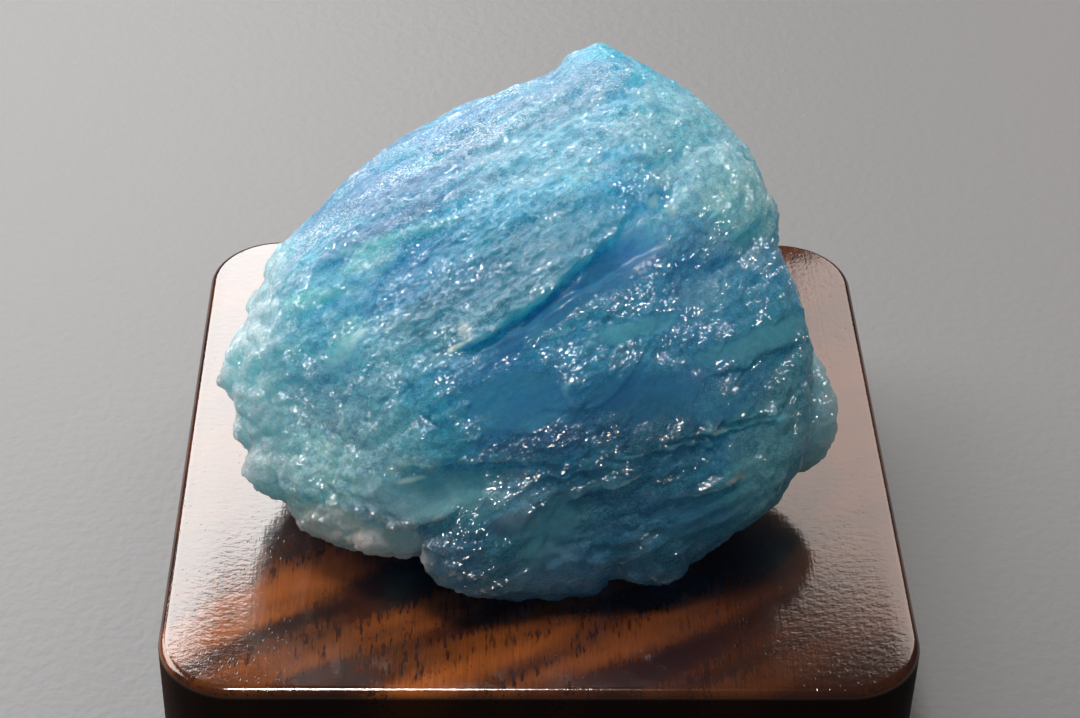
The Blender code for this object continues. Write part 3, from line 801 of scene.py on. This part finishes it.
def patches(points, wander, places, reach_back=3.0):
    """Where patches of skin lie: 0 outside to their strength inside, with a wandering border."""
    total = np.zeros(len(points))
    for *oval, strength in places:
        reach = np.hypot(*oval_place(points, *oval)) + wander
        total = np.maximum(total, strength * smooth_step(1.25, 0.6, reach))
    return total * smooth_step(-reach_back, SIDE_BLEND - reach_back, points[:, 2])


def milk_and_painted_light(body, wander, lobe):
    """How milky the stone is inside, with painted light and shade: darkened low on the front as painted
    shade, lifted in patches and on the lobe as painted light, and thinner in other patches, at the back and
    over the middle.
    """
    across, rise, out = body.T
    aside = across - MIDDLE_PLACE[0]
    # Painted shade: darker low on the front.
    milk_light_shade = LOW_SHADED_MILK + (1.0 - LOW_SHADED_MILK) * smooth_step(*LOW_SHADE_BAND, rise - FRONT_LEAN * aside)
    milk_light_shade *= 1.0 - BACK_MILK_LOSS * smooth_step(*BACK_BAND, out)
    milk_light_shade *= 1.0 - patches(body, wander, DIMMER)
    # Painted light: lifted in patches and on the lobe.
    milk_light_shade *= 1.0 + patches(body, wander, PAINTED_LIGHT_PATCHES)
    milk_light_shade *= 1.0 + LOBE_PAINTED_LIGHT * lobe
    middle = np.exp(-(aside / MIDDLE_REACH[0]) ** 2 - ((rise - MIDDLE_PLACE[1]) / MIDDLE_REACH[1]) ** 2)
    return milk_light_shade * (1.0 - MIDDLE_MILK_LOSS * middle)


def skin_values(body, ragged, wander, lip_highlights, foot_shades):
    """What the skin is like at each point, with the light and shade painted into it, for the etching and the
    material to read by name.
    """
    across, rise, _ = body.T
    smooth = np.clip(patches(body, wander, SMOOTH), 0.0, 1.0)
    glitter = np.maximum(patches(body, 1.5 * wander, GLITTER, 6.0), PLAIN_GLITTER) * (1.0 - smooth)
    glitter *= 1.0 - SHELTER_LOSS * smooth_step(*SHELTER_ACROSS, across) * smooth_step(*SHELTER_RISE, rise)
    lobe = np.exp(-np.sum((body - np.array(LOBE_CENTRE)) ** 2, axis=1) / LOBE_REACH ** 2)
    left_frost = smooth_step(*LEFT_FROST, across + FRONT_LEAN * rise)
    values = {name: mottle(body, *mottling) for name, *mottling in MOTTLES}
    values |= {
        "etched": 1.0 - 0.9 * smooth,
        "glitter": glitter,
        # Painted highlight along the ledges' thin lips.
        "lip": np.clip(1.6 * lip_highlights * (0.6 + 0.4 * np.clip(2.0 * ragged, -1.0, 1.0)), 0.0, 1.0),
        # Deeper blue patches, and the ledges' feet darkened as painted shade.
        "deep_and_shaded": np.maximum(patches(body, wander, DEEP), 0.9 * foot_shades),
        "sea": patches(body, wander, SEA_GREEN),
        "sky": patches(body, wander, SKY_BLUE),
        "milk_light_shade": milk_and_painted_light(body, wander, lobe),
        "shimmer": patches(body, wander, SHIMMER),
        "frost": np.maximum(left_frost, patches(body, wander, FROSTED)),
        # The lobe is pale greenish, and is lifted further by painted light.
        "pale": np.maximum(patches(body, 0.7 * wander, PALE, 8.0), 1.15 * lobe),
        "knobby": np.maximum(smooth_step(*LEFT_KNOBS, across), 0.7 * lobe),
    }
    return values


def shape_stone():
    """The stone's body with its ledges, hollows and lumps, and what its skin is like where."""
    bm = bmesh.new()
    bmesh.ops.create_cube(bm, size=2.0)
    bmesh.ops.subdivide_edges(bm, edges=bm.edges, cuts=SKIN_CUTS, use_grid_fill=True)
    directions = skin_directions(bm)
    distance = body_distance(directions)
    body = directions * distance[:, None]
    drawn = grain_place(body)
    ragged = noise_at(drawn, RAGGED_SIZE, RAGGED_START)
    ragged += 0.6 * noise_at(drawn, FINE_RAGGED_SIZE, FINE_RAGGED_START)
    wander = 0.30 * noise_at(drawn, BORDER_SIZE, BORDER_START)
    wander += 0.18 * noise_at(body, FINE_BORDER_SIZE, FINE_BORDER_START)

    relief = etching_relief(body, directions[:, 2])
    lip_highlights = np.zeros(len(body))
    foot_shades = np.zeros(len(body))
    for *ledge, painted_strength in LEDGES:
        height, lip_highlight, foot_shade = ledge_relief(body, LEDGE_WANDER * ragged, *ledge)
        relief += height
        lip_highlights = np.maximum(lip_highlights, painted_strength * lip_highlight)
        foot_shades = np.maximum(foot_shades, painted_strength * foot_shade)
    for *oval, depth in HOLLOWS:
        relief -= depth * hollow_bowl(body, *oval)
    for way, radius, height in LUMPS:
        relief += height * lump_cap(directions, distance, way, radius)
    relief += rim_relief(body, directions[:, 2], ragged)

    points = keep_off_the_stand(directions * (distance + relief)[:, None])
    turn = Matrix.Rotation(FACE_LEAN, 3, "X")
    for vert, point in zip(bm.verts, points):
        vert.co = STONE_CENTRE + turn @ (Vector(point) * MM)
    bmesh.ops.recalc_face_normals(bm, faces=bm.faces)
    mesh = bpy.data.meshes.new("aquamarine_body")
    bm.to_mesh(mesh)
    bm.free()
    mesh.shade_smooth()
    for name, values in skin_values(body, ragged, wander, lip_highlights, foot_shades).items():
        attribute = mesh.attributes.new(name, "FLOAT", "POINT")
        attribute.data.foreach_set("value", values.astype(np.float32))
    return mesh


def scaled(vector, amount):
    """The vector made so many times longer."""
    return add_node(tree_of(vector), "ShaderNodeVectorMath", {0: vector, "Scale": amount},
                    operation="SCALE").outputs[0]


def signed(colour):
    """A random colour as a random way, -0.5 to 0.5 on each axis."""
    return vector_of("SUBTRACT", colour, (0.5, 0.5, 0.5))


def stone_axes(place):
    """A place in metres in the stone's own axes, and the same with X turned to run along the grain."""
    upright = turned(vector_of("SUBTRACT", place, tuple(STONE_CENTRE)), -FACE_LEAN, "X")
    return upright, turned(upright, -GRAIN_ANGLE, "Z")


def flakes_of(place, scale):
    """Ragged cells: the distance and way from each cell's middle, and the cell's own random way."""
    sized = vector_of("MULTIPLY", place, scale)
    stir = add_node(tree_of(place), "ShaderNodeTexNoise", {"Vector": sized, "Scale": 1.3, "Detail": 2.0})
    moved = vector_of("ADD", sized, scaled(signed(stir.outputs["Color"]), 0.9))
    cells = cells_of(moved)
    return cells["Distance"], vector_of("SUBTRACT", moved, cells["Position"]), signed(cells["Color"])


ETCHING_SIZES = {
    "Step Height": 0.05 * MM, "Step Size": 1.8 * MM, "Ridge Height": 0.05 * MM, "Ridge Size": 0.9 * MM,
    "Pit Depth": 0.06 * MM, "Pit Size": 0.9 * MM, "Grain Stretch": 1.8,
    "Flake Length": 4.2 * MM, "Flake Width": 1.9 * MM, "Flake Height": 0.22 * MM, "Flake Tilt": 0.48 * MM,
    "Chip Length": 1.5 * MM, "Chip Width": 0.8 * MM, "Chip Height": 0.06 * MM, "Chip Tilt": 0.17 * MM,
    "Knob Size": 2.0 * MM, "Knob Height": 0.45 * MM,
}
# The relief that gives a ridge or pit its full painted light or shade.
RIDGE_MARK = 0.06 * MM


def grow_etching():
    """The skin that etching leaves: fine steps, ridges, pits, ragged flakes and chips, and round knobs."""
    tree = bpy.data.node_groups.new("etched_skin", "GeometryNodeTree")
    tree.interface.new_socket("Geometry", in_out="INPUT", socket_type="NodeSocketGeometry")
    tree.interface.new_socket("Geometry", in_out="OUTPUT", socket_type="NodeSocketGeometry")
    for name, value in ETCHING_SIZES.items():
        socket = tree.interface.new_socket(name, in_out="INPUT", socket_type="NodeSocketFloat")
        socket.default_value = value
    tree.interface.new_socket("Material", in_out="INPUT", socket_type="NodeSocketMaterial")
    given = add_node(tree, "NodeGroupInput").outputs
    upright, grained = stone_axes(add_node(tree, "GeometryNodeInputPosition").outputs[0])
    squeeze = add_node(tree, "ShaderNodeCombineXYZ", {"X": math_of("DIVIDE", 1.0, given["Grain Stretch"]),
                                                     "Y": 1.0, "Z": 1.0}).outputs[0]
    drawn = vector_of("MULTIPLY", grained, squeeze)

    def in_units(vector, size):
        return scaled(vector, math_of("DIVIDE", 1.0, size))

    def skin_value(name):
        return add_node(tree, "GeometryNodeInputNamedAttribute", {"Name": name}, data_type="FLOAT").outputs[0]

    level = times(noise_of(in_units(drawn, given["Step Size"]), 3.0, 0.55, normalize=False), 3.0)
    whole = math_of("FLOOR", level)
    steps = times(plus(whole, soft_ramp(minus(level, whole), 0.30, 0.62)), given["Step Height"])
    ridge = noise_of(in_units(drawn, given["Ridge Size"]), 3.0, 0.6, normalize=False,
                     noise_type="RIDGED_MULTIFRACTAL")
    ridges = times(minus(ridge, 1.0), given["Ridge Height"])
    pit = cells_of(in_units(grained, given["Pit Size"]))["Distance"]
    roughness = plus(ridges, times(minus(pit, 0.5), given["Pit Depth"]))
    height = plus(steps, roughness)
    # The ridges' and pits' relief is kept to paint light on the ridges and shade in the pits.
    marks = [("ridge", math_of("DIVIDE", roughness, RIDGE_MARK))]
    for kind in ("Flake", "Chip"):
        across = math_of("DIVIDE", 1.0, given[kind + " Width"])
        scale = add_node(tree, "ShaderNodeCombineXYZ", {"X": math_of("DIVIDE", 1.0, given[kind + " Length"]),
                                                        "Y": across, "Z": across}).outputs[0]
        border, inside, own = flakes_of(grained, scale)
        level, tone, chance = add_node(tree, "ShaderNodeSeparateXYZ", {"Vector": own}).outputs
        marks += [(kind + " border", border), (kind + " tone", tone), (kind + " chance", chance)]
        lean = add_node(tree, "ShaderNodeVectorMath", {0: inside, 1: own},
                        operation="DOT_PRODUCT").outputs["Value"]
        height = plus(height, times(level, given[kind + " Height"]))
        height = plus(height, times(lean, given[kind + " Tilt"]))
    height = times(height, skin_value("etched"))
    bubble = cells_of(in_units(upright, given["Knob Size"]), 0.85)["Distance"]
    flank = math_of("POWER", times(bubble, 1.45), 2.0)
    cap = math_of("SQRT", math_of("MAXIMUM", minus(1.0, flank), 0.0))
    height = plus(height, times(times(cap, skin_value("knobby")), given["Knob Height"]))
    kept = given["Geometry"]
    for name, value in marks:
        kept = add_node(tree, "GeometryNodeStoreNamedAttribute",
                        {"Geometry": kept, "Name": name, "Value": value}, data_type="FLOAT").outputs[0]
    push = scaled(add_node(tree, "GeometryNodeInputNormal").outputs[0], height)
    moved = add_node(tree, "GeometryNodeSetPosition", {"Geometry": kept, "Offset": push}).outputs[0]
    real = add_node(tree, "GeometryNodeRealizeInstances", {"Geometry": moved}).outputs[0]
    coated = add_node(tree, "GeometryNodeSetMaterial", {"Geometry": real, "Material": given["Material"]})
    add_node(tree, "NodeGroupOutput", {"Geometry": coated.outputs[0]})
    return tree


# Cells to a metre along, over and out of the grain.
LARGE_FACETS = (1500.0, 2800.0, 2800.0)
TINY_FACETS = (4600.0, 8600.0, 8600.0)
GRIT_LUMPS = (1200.0, 2400.0, 2400.0)
GRIT_RELIEF = 0.15 * MM
BERYL = (0.092, 0.52, 0.74, 1.0)
BLUER_BERYL = (0.088, 0.47, 0.79, 1.0)
CREASE_SHADE_BLUE = (0.02, 0.21, 0.40, 1.0)
GLINT_WHITE = (0.85, 0.93, 1.0, 1.0)
# Tints of the body in the order that they are laid: the skin's value, its share and the colour.
BODY_TINTS = (
    ("sky", 0.95, (0.13, 0.265, 0.455, 1.0)),
    ("sea", 0.9, (0.24, 0.70, 0.74, 1.0)),
    ("frost", 0.7, (0.50, 0.74, 0.79, 1.0)),
    # The deep blue, also laid at the ledges' feet as painted shade.
    ("deep_and_shaded", 0.8, (0.070, 0.28, 0.60, 1.0)),
)
# Tints of single marks: the skin's value, where it starts and ends, its share and the colour.
MARK_TINTS = (
    ("streak", 0.0, 0.4, 0.22, (0.11, 0.56, 0.70, 1.0)),
    # The two ridge tints are painted light and shade: lighter on raised ridges, darker in the pits.
    ("ridge", 0.0, 1.0, 0.30, (0.16, 0.60, 0.74, 1.0)),
    ("ridge", 0.0, -1.0, 0.20, (0.02, 0.22, 0.40, 1.0)),
    ("Flake tone", 0.1, 0.5, 0.25, (0.14, 0.60, 0.72, 1.0)),
    ("Chip tone", -0.1, -0.5, 0.16, (0.02, 0.22, 0.42, 1.0)),
)
# Tints over all else: clear knobs, painted highlights on the lips, and pale spots, the lobe's paleness partly
# painted light.
EDGE_TINTS = (
    ("knobby", 0.4, (0.62, 0.76, 0.82, 1.0)),
    ("lip", 0.75, (0.26, 0.82, 0.98, 1.0)),
    ("pale", 0.87, (0.80, 0.95, 0.88, 1.0)),
)
# The ways that the facets of the drifts and of the shimmer have in common, in the scene's axes.
DRIFT_WAY = (-0.07, -0.52, 0.85)
SHIMMER_WAY = (-0.25, 0.0, 0.97)
BERYL_IOR = 1.57
DEPTH_TINT = (0.40, 0.76, 0.88, 1.0)
DEPTH_DENSITY = 45.0
SCATTER_SHARE = 0.60
SCATTER_REACH = 60.0 * MM
SCATTER_RADIUS = (0.16, 0.80, 1.0)


def facets(place, cells_per_metre):
    """One random way for each of many tiny facets, longer along the grain."""
    return signed(cells_of(vector_of("MULTIPLY", place, cells_per_metre))["Color"])


def tilted(normal, way, amount):
    """The normal leaned over by so much of each facet's own way."""
    return vector_of("NORMALIZE", vector_of("ADD", normal, scaled(way, amount)))


def toward_way(share, normal, way):
    """The normal drawn by a share toward one common way."""
    return add_node(tree_of(share), "ShaderNodeMix", {"Factor": share, 4: normal, 5: way},
                    data_type="VECTOR").outputs[1]


def skin(tree, name):
    """One of the values that the mesh carries for its skin."""
    return add_node(tree, "ShaderNodeAttribute", attribute_name=name).outputs["Fac"]


def stone_colour(tree, grit, large_facets, tiny_facets, glint_speck):
    """Blue beryl with its bands and patches, with painted light and shade facet by facet and over the grit,
    painted shade in the creases and at the ledges' feet, painted highlights on the lips and painted white
    glints.
    """
    etched = skin(tree, "etched")
    colour = mix(ramp(skin(tree, "cloud"), -0.3, 0.3), BERYL, BLUER_BERYL)
    for name, share, tint in BODY_TINTS:
        colour = mix(times(skin(tree, name), share), colour, tint)
    for name, start, end, share, tint in MARK_TINTS:
        colour = mix(times(ramp(skin(tree, name), start, end), share), colour, tint)
    # Flake borders darkened: partly dark cracks, partly painted shade in the creases.
    crease_shade = times(ramp(skin(tree, "Chip border"), 0.45, 0.75), etched)
    colour = mix(times(times(crease_shade, ramp(skin(tree, "patch"), 0.16, -0.1)), 0.35), colour, CREASE_SHADE_BLUE)
    # Painted light and shade: lighter on the raised grit and with each facet's tilt, darker in the dips.
    tone = plus(times(part_of(large_facets, "Y"), 0.14), times(part_of(tiny_facets, "Y"), 0.40))
    relief_shade = plus(times(tone, etched), plus(times(grit, 0.5), 0.75))
    colour = scaled(colour, times(skin(tree, "milk_light_shade"), relief_shade))
    for name, share, tint in EDGE_TINTS:
        colour = mix(times(skin(tree, name), share), colour, tint)
    # Painted glints: white specks laid into the colour, most along the shimmer.
    painted_glint_share = times(etched, plus(times(skin(tree, "shimmer"), 0.42), 0.13))
    return mix(times(glint_speck, painted_glint_share), colour, GLINT_WHITE)


def stone_sparkle(tree, grit, normal, tiny_facets, glint_speck):
    """The coat's normal and weight: drifts of bright facets, and a finer shimmer up the left."""
    chance = plus(minus(skin(tree, "glitter"), 1.0), ramp(skin(tree, "patch"), -0.28, 0.20))
    chance = plus(chance, times(skin(tree, "Flake chance"), 0.5))
    drift = add_node(tree, "ShaderNodeClamp", {"Value": times(chance, 2.0)}).outputs[0]
    shimmer = times(skin(tree, "shimmer"), ramp(skin(tree, "streak"), -0.16, 0.20))
    common = toward_way(times(drift, 0.88), normal, DRIFT_WAY)
    common = toward_way(times(shimmer, 0.55), common, SHIMMER_WAY)
    weight = math_of("MAXIMUM", drift, times(skin(tree, "knobby"), 0.7))
    weight = times(weight, plus(times(ramp(grit, 0.42, 0.56), 0.65), 0.35))
    weight = times(weight, minus(1.0, times(skin(tree, "shimmer"), 0.5)))
    weight = math_of("MAXIMUM", weight, times(glint_speck, shimmer))
    return tilted(common, tiny_facets, plus(times(shimmer, 0.45), 0.50)), plus(times(weight, 0.8), 0.03)


def paint_stone():
    """Clear sea-blue beryl: milky inside, with thousands of tiny facets that catch the light."""
    material, tree, shader = new_material("clear_aquamarine")
    grained = stone_axes(add_node(tree, "ShaderNodeTexCoord").outputs["Object"])[1]
    large_facets = facets(grained, LARGE_FACETS)
    tiny_facets = facets(grained, TINY_FACETS)
    grit = noise_of(vector_of("MULTIPLY", grained, GRIT_LUMPS), 4.0, 0.7)
    # The specks are painted white glints in the colour and bright facets in the coat.
    glint_speck = times(ramp(part_of(tiny_facets, "Z"), 0.14, 0.36), ramp(skin(tree, "streak"), -0.30, 0.20))
    colour = stone_colour(tree, grit, large_facets, tiny_facets, glint_speck)
    tree.links.new(colour, shader.inputs["Base Color"])

    etched = skin(tree, "etched")
    facing = add_node(tree, "ShaderNodeNewGeometry").outputs["Normal"]
    coarse = tilted(facing, large_facets, times(etched, 0.42))
    height = times(grit, plus(times(etched, 0.85), 0.15))
    bump = add_node(tree, "ShaderNodeBump", {"Strength": 1.0, "Distance": GRIT_RELIEF, "Height": height,
                                             "Normal": coarse}).outputs["Normal"]
    coat_normal, coat_weight = stone_sparkle(tree, grit, bump, tiny_facets, glint_speck)
    tree.links.new(bump, shader.inputs["Normal"])
    tree.links.new(coat_normal, shader.inputs["Coat Normal"])
    tree.links.new(coat_weight, shader.inputs["Coat Weight"])
    shader.inputs["Coat Roughness"].default_value = 0.05
    shader.inputs["Coat IOR"].default_value = 1.7
    shader.inputs["Roughness"].default_value = 0.18
    shader.inputs["IOR"].default_value = BERYL_IOR
    shader.inputs["Specular IOR Level"].default_value = 0.14
    shader.inputs["Transmission Weight"].default_value = 0.25
    scatter = minus(SCATTER_SHARE, times(skin(tree, "lip"), 0.1))
    tree.links.new(scatter, shader.inputs["Subsurface Weight"])
    shader.inputs["Subsurface Radius"].default_value = SCATTER_RADIUS
    shader.inputs["Subsurface Scale"].default_value = SCATTER_REACH
    absorption = add_node(tree, "ShaderNodeVolumeAbsorption", {"Color": DEPTH_TINT, "Density": DEPTH_DENSITY})
    tree.links.new(absorption.outputs[0], tree.nodes["Material Output"].inputs["Volume"])
    return material


def etch_stone(raw_stone, material):
    """Run the etching over the raw stone and keep the result as a plain mesh."""
    etching = raw_stone.modifiers.new("etched skin", "NODES")
    etching.node_group = grow_etching()
    for item in etching.node_group.interface.items_tree:
        if item.name == "Material":
            etching[item.identifier] = material
    bpy.context.view_layer.update()
    etched = raw_stone.evaluated_get(bpy.context.evaluated_depsgraph_get())
    mesh = bpy.data.meshes.new_from_object(etched)
    mesh.name = "aquamarine_crystal"
    raw_stone.modifiers.remove(etching)
    bpy.data.objects.remove(raw_stone)
    return mesh


stone_material = paint_stone()
stone_mesh = etch_stone(add_piece("raw_stone", shape_stone()), stone_material)
stone = add_piece("aquamarine_crystal", stone_mesh)
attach(stone, "root")
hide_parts("aquamarine")
